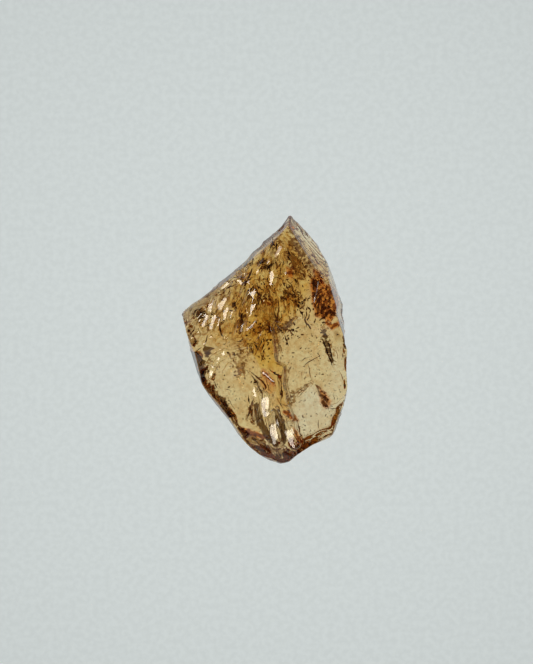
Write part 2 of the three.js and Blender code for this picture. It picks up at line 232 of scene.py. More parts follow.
# rusty patches: strength, outline; the first is the darker top of the painted orange flash, the others rust
# stains
RUST_STAINS_AND_FLASH_TOP = [
    # the darker top of the painted orange flash
    (0.5, [(-0.25, -2.5), (0.3, -2.85), (0.85, -3.55), (1, -4.1), (0.45, -3.75), (-0.15, -3.1)]),
    (0.55, [
        (4, 5.35), (4.45, 5.8), (5.05, 5.55), (5.5, 5), (6.25, 4.35), (6.5, 3.35), (6.3, 2.2),
        (5.85, 1.55), (5.15, 1.95), (4.5, 2.1), (4.15, 3.35),
    ]),
    (0.5, [(4.15, 6.5), (4.8, 6.15), (5.25, 5.35), (4.5, 5.35)]),
    (0.48, [(4.8, -4.1), (5.35, -4.55), (5.95, -5.35), (5.85, -6), (5.4, -6.15), (4.95, -5.55)]),
    (0.85, [(1.55, -6.3), (2, -6.15), (2.45, -6.5), (3.1, -7.25), (2.55, -7.15), (1.9, -6.6)]),
    (0.7, [(2.55, -7.8), (2.8, -8.05), (3.45, -9.15), (3.1, -9.3), (2.7, -8.6)]),
    (0.8, [(5.35, 1.95), (5.85, 1.4), (6.85, 1.85), (6.95, 1.5), (5.95, 0.95), (5.4, 1.4)]),
    (0.5, [(1.9, 6.5), (2.55, 6.5), (2.55, 5.6), (2, 5.55)]),
    (0.9, [(-2.25, -7.8), (-1.5, -7.9), (-0.8, -8.15), (0.3, -8.7), (-0.25, -8.8), (-1.5, -8.35)]),
]
# scooped hollows in the top: depth, how soft their rims are, outline
HOLLOWS = [
    (0.3, 0.35, [(0.45, -6.35), (1.1, -6.55), (1.45, -7.9), (1.75, -9.4), (1.3, -9.5), (0.65, -8.25)]),
    (0.3, 0.35, [(1.75, -6.8), (2.35, -7.6), (3.15, -9.15), (2.7, -9.5), (2.1, -8.95), (1.8, -7.9)]),
    (0.3, 0.3, [(-1.15, -5.9), (-0.7, -5.8), (-0.8, -7.25), (-1.15, -7.15)]),
    (0.3, 0.3, [(-0.25, -4.65), (0.4, -4.75), (0.4, -5.65), (0.2, -6.45), (-0.25, -6.1)]),
]
# long flaws just under the top: width, how dark, how rusty, path
VEINS = [
    (0.15, 1, 0, [(-0.95, 7.85), (-1, 7.25), (-1.15, 6.5)]),
    (0.16, 1, 0, [(-1.35, 7.4), (-1.3, 7.05), (-1.35, 6.6)]),
    (0.09, 1, 0, [(-3.15, 5.25), (-2.75, 5.55), (-2.4, 5.6), (-1.95, 5.5)]),
    (0.16, 1, 0, [(-3.5, 4.5), (-2.95, 4.8), (-2.4, 5)]),
    (0.09, 1, 0, [(-2.05, 5.25), (-1.95, 5), (-1.8, 4.7)]),
    (0.09, 1, 0, [(-2.6, 2.85), (-2.5, 2.65), (-2.5, 2.45)]),
    (0.21, 1, 0, [(-3.95, 1.55), (-3.95, 1.05), (-3.85, 0.6), (-3.6, 0.2)]),
    (0.09, 1, 0, [(-3.2, 0.5), (-2.95, 0.65), (-2.7, 0.8)]),
    (0.18, 0.9, 0, [(-5, 0.5), (-5.15, 0.05), (-5.3, -0.4)]),
    (0.07, 1, 0, [(-4.5, 0.85), (-4.35, 1.2), (-4.2, 1.55)]),
    (0.08, 1, 0, [(-1.4, 2.2), (-1.25, 2.4), (-0.95, 2.45)]),
    (0.09, 1, 0, [(-0.05, 8.15), (0, 7.85), (-0.05, 7.5)]),
    (0.09, 1, 0, [(-0.95, 4.95), (-0.5, 4.7), (-0.15, 4.45), (0.1, 4.1)]),
    (0.08, 0.9, 0.3, [(0.55, 5.35), (1, 5.6), (1.45, 5.45), (1.65, 5.1)]),
    (0.09, 1, 0, [(1.55, 7.25), (1.65, 6.95), (1.8, 6.8)]),
    (0.18, 1, 0, [(2, 8.25), (2.15, 7.8), (2.1, 7.35), (2.35, 6.95)]),
    (0.21, 1, 0, [(-0.15, 3.9), (0.1, 3.75), (0.4, 3.55)]),
    (0.18, 1, 0, [(3, 2.75), (3.25, 2.45), (3.45, 2)]),
    (0.15, 1, 0, [(3.45, 2.4), (3.6, 1.95), (3.7, 1.5), (3.7, 1.2)]),
    (0.19, 1, 0, [(3.7, 3), (3.9, 2.85), (4.05, 2.45)]),
    (0.16, 1, 0.5, [(3.7, 1.65), (3.9, 1.4), (4, 1.2)]),
    (0.21, 1, 0, [(2.45, 1.75), (2.6, 1.55), (2.7, 1.4)]),
    (0.19, 1, 0.2, [(1.8, 1.1), (2.1, 1), (2.35, 0.75), (2.55, 0.4)]),
    (0.15, 1, 0, [(1.75, 0.6), (1.8, 0.2), (2, -0.15), (2.1, -0.5)]),
    (0.15, 1, 0, [(2.25, 1.1), (2.55, 1.05), (2.65, 0.65)]),
    (0.09, 1, 0.3, [(2.55, 4.45), (2.65, 4), (2.9, 3.75)]),
    (0.09, 1, 0.3, [(3.1, 4.55), (3.15, 4.1), (3.35, 3.75)]),
    (0.15, 1, 0.3, [(3.1, 3.2), (3.35, 3), (3.6, 3.35)]),
    (0.16, 1, 0, [(5.05, 0.4), (5.25, -0.15), (5.5, -0.85), (5.8, -1.6), (6.15, -2.5)]),
    (0.16, 1, 0, [(5.6, -0.05), (5.8, -0.6), (5.95, -1.2), (6.15, -1.85)]),
    (0.07, 0.7, 0.3, [(6.25, -0.4), (6.5, -1.2), (6.6, -1.95)]),
    (0.07, 0.8, 0.3, [(3.1, -1.95), (3.55, -1.55), (4.15, -1.4)]),
    (0.08, 1, 0, [(3.35, -2.4), (3.9, -1.9), (4.45, -1.6), (5.05, -1.3)]),
    (0.08, 0.9, 0.2, [(3.8, -1.95), (4, -2.5), (4.05, -3.2), (4.25, -3.65)]),
    (0.06, 0.6, 0.3, [(3.35, -2.5), (3.3, -3), (3.35, -3.65)]),
    (0.09, 0.9, 0.5, [(2.9, -5.2), (3.55, -4.45), (4.25, -3.75)]),
    (0.08, 0.8, 0.5, [(2.65, -5.2), (3.25, -4.5), (4, -3.85)]),
    (0.06, 0.8, 0.5, [(2.9, -4.55), (3.45, -4.2), (4, -3.65)]),
    (0.18, 1, 0.3, [(4.35, -3.75), (4.7, -4.1), (4.95, -4.35)]),
    (0.09, 1, 0.5, [(5.7, -5.9), (5.95, -6.15), (6.3, -6.15), (6.7, -6.1), (6.95, -5.7), (7.15, -5.1)]),
    (0.06, 0.7, 0.4, [(5.95, -4.75), (6.25, -5.1), (6.25, -5.55)]),
    (0.07, 0.8, 0.4, [(6.6, -2.55), (6.95, -3.3), (7.2, -4.1)]),
    (0.16, 1, 0, [(-1.4, -4.8), (-1.4, -5.25), (-1.25, -5.7)]),
    (0.21, 0.95, 0.2, [(-0.95, -5.2), (-1.05, -5.55), (-1.35, -6.25), (-1.6, -7.25)]),
    (0.18, 1, 0, [(-1.35, -6.45), (-1.15, -6.9), (-0.9, -7.45)]),
    (0.19, 1, 0, [(-0.5, -3.9), (-0.35, -4.35), (-0.25, -4.9), (0, -5.7)]),
    (0.07, 0.9, 0.2, [(-0.05, -4.65), (0.1, -5.35), (0, -5.9), (0.3, -7)]),
    (0.08, 0.9, 0.2, [(2.25, -7.8), (2.65, -8.6), (3.1, -9.3)]),
    (0.06, 0.9, 0.1, [(1.9, -7.15), (2.2, -7.9), (2.35, -8.6)]),
    (0.09, 0.6, 0.3, [(1.1, -4.75), (1.2, -5.2), (1.45, -5.65), (1.8, -6.15)]),
    (0.09, 1, 0.4, [(1.45, -6.15), (2, -6.1), (2.45, -6.4), (3.1, -7.25)]),
    (0.09, 1, 0.2, [(1.55, -6.4), (2, -6.75), (2.55, -7.2), (3, -7.35)]),
    (0.06, 0.9, 0.2, [(2.8, -7.15), (3, -7.5), (3.15, -8.05)]),
    (0.15, 1, 0.7, [(0.3, -2.4), (0.85, -2.75), (1.2, -3.2), (1.45, -3.9)]),
    (0.07, 0.8, 0.7, [(0.1, -2.75), (0.2, -3.55), (0.45, -4.35), (0.9, -4.75)]),
    (0.23, 1, 0.1, [(-1.15, -9.25), (-0.7, -9.6), (-0.15, -9.85), (0.3, -10.15)]),
    (0.09, 1, 0.3, [(-1.35, -8.7), (-0.8, -8.95), (-0.25, -9.5)]),
    (0.09, 1, 0.1, [(1.9, -9.6), (2.2, -9.95), (2.1, -10.4)]),
    (0.15, 1, 0.1, [(1.65, -9.75), (1.75, -10.15), (1.65, -10.6)]),
    (0.09, 1, 0.1, [(2.45, -9.7), (2.65, -10.05), (2.45, -10.4)]),
    (0.09, 1, 0, [(-4.4, -2.85), (-4.4, -3), (-4.4, -3.2)]),
    (0.15, 1, 0, [(-4.5, -3.55), (-4.4, -3.9), (-4.2, -4.3)]),
    (0.07, 1, 0, [(-3.6, -4.3), (-3.3, -4.35), (-2.95, -4.5)]),
    (0.06, 0.8, 0, [(-4.95, -2.3), (-4.55, -2.35), (-3.95, -2.3)]),
    (0.08, 0.9, 0.4, [(-2.4, -2.95), (-2.15, -3.1), (-1.8, -2.95)]),
    (0.08, 0.2, 0.3, [(-5.45, -3), (-5.3, -2.1), (-4.75, -1.3), (-3.95, -0.85)]),
    (0.08, 0.2, 0.3, [(-4.95, -3.75), (-4.95, -2.65), (-4.5, -1.75), (-3.65, -1.15)]),
    (0.08, 0.18, 0.3, [(-4.5, -3.9), (-4.5, -2.85), (-4.05, -1.95), (-3.15, -1.4)]),
    (0.08, 0.18, 0.3, [(-3.85, -3.55), (-3.75, -2.65), (-3.2, -1.95), (-2.4, -1.65)]),
    (0.06, 0.8, 0.3, [(-2.95, -6.6), (-2.7, -7), (-2.3, -7.35)]),
    (0.18, 1, 0, [(-6.2, 1.3), (-6.35, 0.85), (-6.65, 0.3)]),
    (0.19, 1, 0, [(-7.25, 1.75), (-7.1, 1.2), (-6.75, 0.6)]),
    (0.09, 1, 0, [(-6.1, -0.95), (-5.85, -0.8), (-5.55, -0.6)]),
    (0.08, 1, 0, [(-5.75, -1.5), (-5.55, -1.75), (-5.45, -2.1)]),
    (0.07, 0.8, 0.2, [(-3.3, -5), (-2.95, -5.7), (-2.6, -6.25)]),
    (0.09, 1, 0.2, [(4.8, -7.05), (4.8, -7.6), (4.9, -8.15)]),
    (0.18, 1, 0, [(5.35, 7.05), (5.4, 6.9), (5.5, 6.7)]),
    (0.15, 1, 0, [(5.8, 6.05), (5.85, 5.9), (5.95, 5.7)]),
    (0.08, 0.9, 0.6, [(5.05, 6.45), (5.35, 5.9), (5.6, 5.45)]),
    (0.08, 0.8, 0.2, [(2.35, 8.75), (2.8, 8.15), (3.25, 7.5)]),
    (0.08, 0.8, 0.2, [(2.7, 9.65), (3.25, 8.5), (3.9, 7.4), (4.6, 6.5)]),
    (0.06, 0.8, 0.2, [(3.55, 8.5), (4.15, 7.6), (4.8, 6.7)]),
]
# small flat chips of the top that catch the light: width, dullness, depth, path
GLINTS = [
    (0.27, 0.3, 0.25, [(-0.7, 2), (-1.25, 1.1)]),
    (0.27, 0.3, 0.25, [(-0.25, 0.85), (-0.8, -0.05)]),
    (0.25, 0.3, 0.25, [(-1.8, 1.65), (-2.15, 0.75)]),
    (0.58, 0.28, 0.25, [(-3.5, 3.75), (-4.05, 2.9)]),
    (0.49, 0.24, 0.25, [(-3.3, 2.9), (-3.75, 1.85)]),
    (0.49, 0.24, 0.25, [(-4.4, 2.2), (-4.85, 1.1)]),
    (0.45, 0.2, 0.12, [(-5.1, 2.2), (-5.55, 1.3)]),
    (0.41, 0.3, 0.22, [(-4.55, 3.65), (-5, 2.65)]),
    (0.4, 0.28, 0.22, [(-3.2, 5.1), (-3.85, 4.65)]),
    (0.4, 0.14, 0.2, [(-2.4, 5.35), (-2.05, 5.15)]),
    (0.22, 0.23, 0.2, [(-1.6, 6.5), (-1.85, 5.7)]),
    (0.36, 0.32, 0.2, [(-2.6, 6.35), (-2.25, 5.9)]),
    (0.49, 0.28, 0.25, [(1.45, 8.3), (0.9, 7.5)]),
    (0.2, 0.18, 0.2, [(1.9, 6.6), (1.75, 5.8)]),
    (0.14, 0.14, 0.2, [(-1.25, 1.5), (-1.7, 0.85)]),
    (0.14, 0.14, 0.2, [(-0.8, 1.1), (-1.4, 0.2)]),
    (0.14, 0.14, 0.2, [(-0.95, 2.1), (-1.35, 1.65)]),
    (0.22, 0.18, 0.2, [(-1.6, 3), (-1.5, 2.4)]),
    (0.22, 0.18, 0.2, [(1.65, 10.3), (1.3, 9.95)]),
    (0.2, 0.23, 0.2, [(0.4, 7.15), (0.1, 6.8)]),
    (0.58, 0.16, 0.35, [(-3.5, -0.95), (-4.2, -1.65)]),
    (0.58, 0.16, 0.35, [(-4.1, -1.6), (-4.65, -2.4)]),
    (0.54, 0.16, 0.35, [(-4.65, -2.3), (-4.85, -3.3)]),
    (0.25, 0.09, 0.2, [(-2.6, -0.95), (-3.3, -1.05)]),
    (0.25, 0.09, 0.2, [(-3.95, -0.7), (-4.5, -1.15)]),
    (0.23, 0.09, 0.2, [(-5, -2.3), (-5.2, -3)]),
    (0.4, 0.1, 0.4, [(-0.15, -2.75), (0.75, -3.65)]),
    (0.22, 0.09, 0.2, [(0.85, -4.55), (1, -4.75)]),
    (0.14, 0.14, 0.2, [(0.85, -4.8), (0.45, -5.9)]),
    (0.16, 0.14, 0.2, [(-0.25, -9.25), (0.3, -10.05)]),
    (0.16, 0.14, 0.2, [(-0.95, -8.7), (-0.25, -9.05)]),
    (0.16, 0.14, 0.2, [(1.8, -9.95), (1.9, -10.15)]),
    (0.16, 0.14, 0.2, [(2.1, -9.7), (2.2, -9.85)]),
    (0.16, 0.14, 0.2, [(2.25, -10.2), (2.35, -10.4)]),
    (0.27, 0.2, 0.2, [(-3.95, 2), (-4.2, 1.2)]),
    (0.27, 0.2, 0.2, [(-2.75, 2.75), (-3.15, 1.95)]),
    (0.18, 0.14, 0.2, [(-0.7, 3.65), (-1.05, 2.9)]),
    (0.18, 0.14, 0.2, [(2.9, 4.55), (2.8, 4.1)]),
    (1.17, 0.2, 0.8, [(0.55, -6.55), (1.1, -9.15)]),
    (1.08, 0.2, 0.8, [(2, -7.8), (2.65, -9.25)]),
    (0.99, 0.2, 0.8, [(-0.05, -5), (0.1, -6.45)]),
    (0.45, 0.1, 0.4, [(-0.95, -4.2), (-0.85, -5)]),
]
CHIP_LEAN = (0.231, -0.307)  # how fast a chip rises to the east and to the north
CHIP_RIM = 0.09  # how soft a chip's edge is
CHIP_SINK = 0.02  # how far a chip lies below what was there
CHIP_FROST = 1.3  # how far a chip's dullness shows
# flake scars: their spacing, how steep and how deep they are, and their seed
HACKLES_BELOW = {"cell": (0.8, 1.8), "slope": (0.65, 0.3), "depth": 0.3, "seed": 4}
SHOULDER_COMB = {"cell": (0.5, 1.3), "slope": (0.16, 0.1), "depth": 0.06, "seed": 8}
TOP_COMB = {"cell": (0.6, 1.1), "slope": (0.1, 0.07), "depth": 0.04, "seed": 18}
SIDE_BRUISES = {"cell": (0.9, 0.9, 0.7), "slope": (0.4, 0.4, 0.4), "depth": 0.06, "seed": 6}
LEFT_BRUISES = {"cell": (0.8, 0.8, 0.8), "slope": (0.5, 0.5, 0.5), "depth": 0.1, "seed": 26}
SHALLOWEST = 30  # the percentage of scarred places that lie above the old face
FAN_STRETCH = 7  # the distance from the root where scars are as wide as their spacing says
HACKLE_WANDER = 0.12  # how far the hackles' headings wander, in radians
FAN_DRIFT = 0.3  # and those of the streaks that follow them
FINE_HACKLE_HEIGHT = 0.025 * MM
RAGGEDNESS = 0.1  # how far the edges of patches wander
BEVEL_START = (2.3, 10.1)
BEVEL_ACROSS = (0.872, 0.489)  # which way is across the growth lines
BEVEL_TURN = radians(60.7)  # the same, as a turn
STRIA_HEIGHT = 0.05
SWELL_HEIGHT = 0.03  # the slow waves of the top
RIPPLE_ROOT = (-1.1, -4.7)  # the blow that left the ripples in the left-hand window
RIPPLE_BEND = 0.15  # how far the ripples leave a circle
RIPPLE_WIDTH = 0.14
RIPPLES = [(2.6, 0.04), (3.2, 0.04), (3.7, 0.07), (4.1, 0.09), (4.5, 0.04)]  # radius, height
LEFT_FLOOR_HEIGHT = 0.4  # what the underside of the left end comes down to
HIGH_RIM_REACH = 0.3  # how far the upper and the lower right-hand rims stand out
LOW_RIM_REACH = 0.4
LOW_RIM_TOP = 1.8  # the height from which the lower one no longer does
RIGHT_FACE = 7.25  # how far east the plumb right-hand face stands
PLUMBNESS = 0.9  # 1 is quite upright
TIP = (2.2, 11)
TIP_REACH = 0.2  # how far the tip is drawn out
TIP_SPREAD = 0.5  # how far round the tip that reaches, squared
STROKE_ROOT = (-0.3, -1.5)  # where the dark strokes of the blunt end fan out from
FEATHER_DEPTH = 0.02  # how thick a leaf of air is
VEIN_DEPTHS = (0.2, 0.4)  # how far veins lie under the top
THINNEST = 1  # where the stone is thinner than this it holds no leaves
CLEAR_OF_BASE = 0.4  # and none lies lower than this above its base
ABOVE_ALL = 20  # heights over and under the stone, to find its top and base from
BELOW_ALL = -1
LEAVES_WITH_CLEAN = 220  # how many leaves there are once the clean feathers are in
LEAVES_WITH_STAINED = 480  # and once the stained ones are too
# clusters of dark specks: where, how wide, how many
SPECK_CLUSTERS = [
    (2.0, 0.7, 0.45, 26), (-0.6, 4.4, 0.7, 26), (-0.7, 0.6, 0.8, 60), (0.2, -1.4, 0.6, 26),
    (3.2, 3.2, 0.5, 26), (2.4, 4.6, 0.9, 30), (3.2, -0.6, 1.2, 20), (4.0, -8.0, 1.0, 8),
    (-3.4, -3.6, 1.3, 20), (5.4, 3.2, 0.8, 60), (-3.0, 3.4, 1.4, 30), (2.6, -9.6, 0.5, 16),
]

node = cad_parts["tourmaline"]
bpy.ops.object.select_all(action="DESELECT")
crystal = node.copy()
crystal.data = node.data.copy()
crystal.name = "crystal"
for key in list(crystal.keys()):
    del crystal[key]
crystal.parent = None
bpy.context.scene.collection.objects.link(crystal)
bpy.context.view_layer.objects.active = crystal
crystal.select_set(True)
bpy.ops.object.mode_set(mode="EDIT")
bpy.ops.mesh.select_all(action="SELECT")
bpy.ops.mesh.remove_doubles(threshold=MERGE_REACH)
bpy.ops.object.mode_set(mode="OBJECT")


def finish_with(piece, kind, **settings):
    made = piece.modifiers.new(kind.lower(), kind)
    for name, value in settings.items():
        setattr(made, name, value)
    bpy.context.view_layer.objects.active = piece
    bpy.ops.object.modifier_apply(modifier=made.name)


finish_with(crystal, "REMESH", mode="VOXEL", voxel_size=CRYSTAL_GRAIN, use_smooth_shade=True)
finish_with(crystal, "SMOOTH", factor=0.5, iterations=3)


def ease(value, low, high):
    # 0 up to one value, 1 from another, and smooth between them
    share = np.clip((value - low) / (high - low), 0, 1)
    return share * share * (3 - 2 * share)


def away_from(x, y, path):
    # how far each place is from a path of straight lines
    nearest = np.full(len(x), np.inf)
    for (ax, ay), (bx, by) in zip(path, path[1:]):
        run = (bx - ax) ** 2 + (by - ay) ** 2
        along = np.clip(((x - ax) * (bx - ax) + (y - ay) * (by - ay)) / run, 0, 1)
        nearest = np.minimum(nearest, np.hypot(x - ax - along * (bx - ax), y - ay - along * (by - ay)))
    return nearest


def within(x, y, outline, soft):
    # 1 inside an outline, 0 outside, with an edge as soft as is asked
    closed = outline + outline[:1]
    crossings = np.zeros(len(x), int)
    for (ax, ay), (bx, by) in zip(closed, closed[1:]):
        if ay != by:
            crossings += ((ay > y) != (by > y)) & (x < ax + (y - ay) * (bx - ax) / (by - ay))
    signed = np.where(crossings % 2 == 1, 1, -1) * away_from(x, y, closed)
    return ease(signed, -soft / 2, soft / 2)


def soft_noise(u, v, layer):
    # a smooth wandering value; each layer is a pattern of its own
    return np.array([noise.noise((a, b, layer)) for a, b in zip(u, v)])


def scars(points, cell, slope, depth, seed):
    # overlapping scooped flake scars, and how deep they are at each point
    dice = np.random.default_rng(seed)
    low = points.min(0)
    high = points.max(0)
    number = int(np.prod((high - low) / cell))
    roots = dice.uniform(low, high, (number, len(cell)))
    lean = dice.uniform(-1, 1, (number, len(cell))) * slope
    level = dice.uniform(0, depth, number)
    curve = 0.5 * np.array(slope) / cell
    deep = np.empty(len(points))
    at_once = 2000
    for start in range(0, len(points), at_once):
        away = points[start:start + at_once, None, :] - roots
        deep[start:start + at_once] = (level + (away * lean - curve * away ** 2).sum(-1)).max(1)
    return deep


def scarred(mask, points, cell, slope, depth, seed):
    # scars where a mask is, counted from the level that the shallowest of them reach
    made = np.zeros(len(mask))
    here = mask > 0.01
    deep = scars(points[here], cell, slope, depth, seed)
    made[here] = (deep - np.percentile(deep, SHALLOWEST)) * mask[here]
    return made


def patched(patches, soft):
    # the strongest of a list of patches at each point
    made = nil
    for strength, outline in patches:
        made = np.maximum(made, strength * within(ragged_x, ragged_y, outline, soft))
    return made


def measured(what):
    # the place of every corner of the mesh, or the way it faces
    values = np.empty(len(crystal.data.vertices) * 3, np.float32)
    crystal.data.vertices.foreach_get(what, values)
    return values.reshape(-1, 3).astype(float)


# the calm face is smoothed before the relief goes on
east, north, _ = measured("co").T / MM
calm = crystal.vertex_groups.new(name="calm")
calm_share = within(east, north, CALM, 0.8)
for number in np.flatnonzero(calm_share > 0.05):
    calm.add([int(number)], calm_share[number], "REPLACE")
finish_with(crystal, "SMOOTH", factor=0.5, iterations=60, vertex_group="calm")
crystal.vertex_groups.clear()
place = measured("co") / MM
facing = measured("normal")
x, y, z = place.T
nil = z * 0

# how much each place belongs to the underside, the top, the walls and the named regions
upward = facing[:, 2]
under = ease(-upward, 0.1, 0.6)
over = ease(upward, 0.3, 0.7)
skyward = ease(upward, 0.02, 0.2)
wallward = ease(upward, -0.2, 0)
undercut = ease(-upward, 0.05, 0.2) * ease(upward, -0.9, -0.75)
steep = ease(1 - np.abs(upward), 0.15, 0.5) * ease(-upward, -0.2, 0.1)
wander = HACKLE_WANDER * soft_noise(x * 0.45, y * 0.45, 3.1)
angle = np.arctan2(y - HACKLE_ROOT[1], x - HACKLE_ROOT[0]) + wander
reach = np.hypot(x - HACKLE_ROOT[0], y - HACKLE_ROOT[1])
combed = within(x, y, COMBED, 0.9)
shoulder = within(x, y, SHOULDER, 0.8)
bevel = within(x, y, BEVEL, 0.2)
ragged_x = x + RAGGEDNESS * soft_noise(x * 3, y * 3, 21)
ragged_y = y + RAGGEDNESS * soft_noise(x * 3, y * 3, 22)

# hackles, which are long and narrow about their root
fan_plan = np.stack((angle * FAN_STRETCH, reach), 1)
spread = np.clip(reach / FAN_STRETCH, 0.2, 1.2)
rise = scarred(combed * under, fan_plan, **HACKLES_BELOW) * spread
comb_top = scarred(shoulder * over, fan_plan, **SHOULDER_COMB) * spread
comb_top += scarred(combed * over * (1 - shoulder), fan_plan, **TOP_COMB) * spread

# growth lines on the bevel, bruises on the steep sides, and slow waves on the top
across = (x - BEVEL_START[0]) * BEVEL_ACROSS[0] + (y - BEVEL_START[1]) * BEVEL_ACROSS[1]
lengthwise = (x - BEVEL_START[0]) * BEVEL_ACROSS[1] - (y - BEVEL_START[1]) * BEVEL_ACROSS[0]
striae = STRIA_HEIGHT * soft_noise(across * 3.2, lengthwise * 0.22, 7) * bevel * ease(upward, 0.1, 0.3)
bruise = scarred(steep, place, **SIDE_BRUISES)
left_side = within(x, y, LEFT_SIDE, 0.8) * ease(-upward, -0.1, 0.2)
bruise += scarred(left_side, place, **LEFT_BRUISES)
swell = SWELL_HEIGHT * soft_noise(x * 0.5, y * 0.5, 9) * over
for depth, soft, outline in HOLLOWS:
    rise -= depth * within(ragged_x, ragged_y, outline, soft) * over
frost = patched(FROSTED, 0.25) * skyward
blow = np.hypot(x - RIPPLE_ROOT[0], y - RIPPLE_ROOT[1])
blow_angle = np.arctan2(y - RIPPLE_ROOT[1], x - RIPPLE_ROOT[0])
for radius, height in RIPPLES:
    near_ripple = blow - radius - RIPPLE_BEND * np.sin(2 * blow_angle + radius)
    ripple = np.exp(-(near_ripple / RIPPLE_WIDTH) ** 2) * over * within(x, y, RIPPLED, 1.0)
    swell += height * ripple

# the rims, the right-hand face, the underside of the left end, and the tip
rise -= np.maximum(z - LEFT_FLOOR_HEIGHT, 0) * within(x, y, LEFT_FLOOR, 0.6) * under
high_rim = within(x, y, HIGH_RIGHT, 1.0) * ease(np.hypot(facing[:, 0], facing[:, 1]), 0.5, 0.9)
swell += HIGH_RIM_REACH * high_rim
low_rim = within(x, y, LOW_RIGHT, 0.8) * ease(-upward, 0.05, 0.3) * np.clip(1 - z / LOW_RIM_TOP, 0, 1)
swell += LOW_RIM_REACH * low_rim
plumb = PLUMBNESS * within(x, y, RIGHT_EDGE, 0.2) * ease(-upward, 0.05, 0.2) * ease(x, 6.4, 6.6)
place[:, 0] += (RIGHT_FACE - x) * plumb
place += facing * (swell + striae - comb_top - bruise)[:, None]
place[:, 2] += rise
place[:, 1] += TIP_REACH * np.exp(-((x - TIP[0]) ** 2 + (y - TIP[1]) ** 2) / TIP_SPREAD)

# each chip is cut flat, at the level that its middle has
for width, dullness, reach_down, path in GLINTS:
    (ax, ay), (bx, by) = path
    middle_x = (ax + bx) / 2
    middle_y = (ay + by) / 2
    chip = ease(width / 2 - away_from(x, y, path), -CHIP_RIM, CHIP_RIM) * skyward
    near_middle = (np.hypot(x - middle_x, y - middle_y) < 0.15) & (skyward > 0.5)
    level = place[near_middle, 2].mean() - CHIP_SINK
    flat_chip = level + (x - middle_x) * CHIP_LEAN[0] + (y - middle_y) * CHIP_LEAN[1]
    place[:, 2] += np.clip(flat_chip - place[:, 2], -reach_down, reach_down) * chip
    frost = np.maximum(frost, CHIP_FROST * dullness * chip)
place[:, 2] = np.maximum(place[:, 2], 0)
crystal.data.vertices.foreach_set("co", (place * MM).astype(np.float32).ravel())
crystal.data.update()


def mark(name, values):
    # a value at every corner, which the material reads by its name
    made = crystal.data.attributes.new(name, "FLOAT", "POINT")
    made.data.foreach_set("value", values.astype(np.float32))


# the gold band keeps only a quarter of the combing and a fifth of the milkiness
in_band = within(x, y, GOLD_BAND, 0.2) * skyward
mark("combed", combed * np.maximum(under, skyward * (1 - bevel)) * (1 - 0.75 * in_band))
mark("bevel", bevel * skyward)
mark("clear", within(x, y, CLEAR, 0.8) * skyward)
mark("gold", in_band * (0.5 + 0.5 * ease(y, -3, -2)))
mark("cloud", within(x, y, CLOUD, 1.0) * ease(x, -6.5, -1.5) * (1 - 0.8 * in_band) * skyward)
mark("below", under)
mark("frost", frost)
# the painted orange flash
mark("painted_flash", within(x, y, PAINTED_FLASH, 0.2) * skyward)
# dark and brown: stains, and painted shade on the rims
mark("dark", patched(DARK_STAINS_AND_RIM_SHADE, 0.25) * wallward)
mark("brown", patched(BROWN_STAINS_AND_RIM_SHADE, 0.4) * wallward)
mark("stained", nil)
# rust, and the darker top of the painted orange flash
mark("rusted", patched(RUST_STAINS_AND_FLASH_TOP, 0.3) * skyward)
# painted shade: the walls that face down under the rims are tinted darker
mark("undercut_shade", undercut * (1 - left_side) * ease(7.2 - x, 0, 0.5))


def leaf(spine, broad, up, widths, stain, rust=0):
    # a thin leaf of air along a spine: its corners, its faces turned to face the air, and its stains
    corners = [spine[0]]
    for middle, width in zip(spine[1:-1], widths):
        for side, lift in ((-0.5, 0), (0, 0.5), (0.5, 0), (0, -0.5)):
            corners.append(middle + broad * side * width + up * lift * FEATHER_DEPTH)
    corners.append(spine[-1])
    rings = len(spine) - 2
    faces = []
    for side in range(4):
        follow = (side + 1) % 4
        faces.append((0, 1 + side, 1 + follow))
        for ring in range(1, 4 * rings - 3, 4):
            faces.append((ring + side, ring + 4 + side, ring + 4 + follow, ring + follow))
        faces.append((4 * rings - 3 + side, 4 * rings + 1, 4 * rings - 3 + follow))
    return corners, faces, stain, rust


def feather(middle, heading, dip, tilt, length, width, curl, stain):
    # a short leaf about a middle, bowed by its curl
    along = Vector((cos(heading) * cos(dip), sin(heading) * cos(dip), sin(dip)))
    level = Vector((-sin(heading), cos(heading), 0))
    broad = Matrix.Rotation(tilt, 3, along) @ level
    up = along.cross(broad)
    spine = []
    for share in (0, 0.25, 0.5, 0.75, 1):
        bow = sin(pi * share) * curl
        spine.append(middle + along * length * (share - 0.5) + (up + broad * 0.6) * bow)
    return leaf(spine, broad, up, (0.8 * width, width, 0.7 * width), stain)


def depth_range(east, north):
    # where the stone's underside and top are at a place in plan, or None outside it
    hit_top, top, _, _ = crystal.ray_cast(Vector((east, north, ABOVE_ALL)) * MM, Vector((0, 0, -1)))
    hit_base, base, _, _ = crystal.ray_cast(Vector((east, north, BELOW_ALL)) * MM, Vector((0, 0, 1)))
    return (base.z / MM, top.z / MM) if hit_top and hit_base else None


def near_top(east, north, below):
    # a height a little below the top, or None where the stone is too thin for a leaf
    span = depth_range(east, north)
    if span is None or span[1] - span[0] < THINNEST:
        return None
    return max(span[1] - below, span[0] + CLEAR_OF_BASE)


def in_feathers(east, north, soft):
    return within(np.array([east]), np.array([north]), FEATHERED, soft)[0]


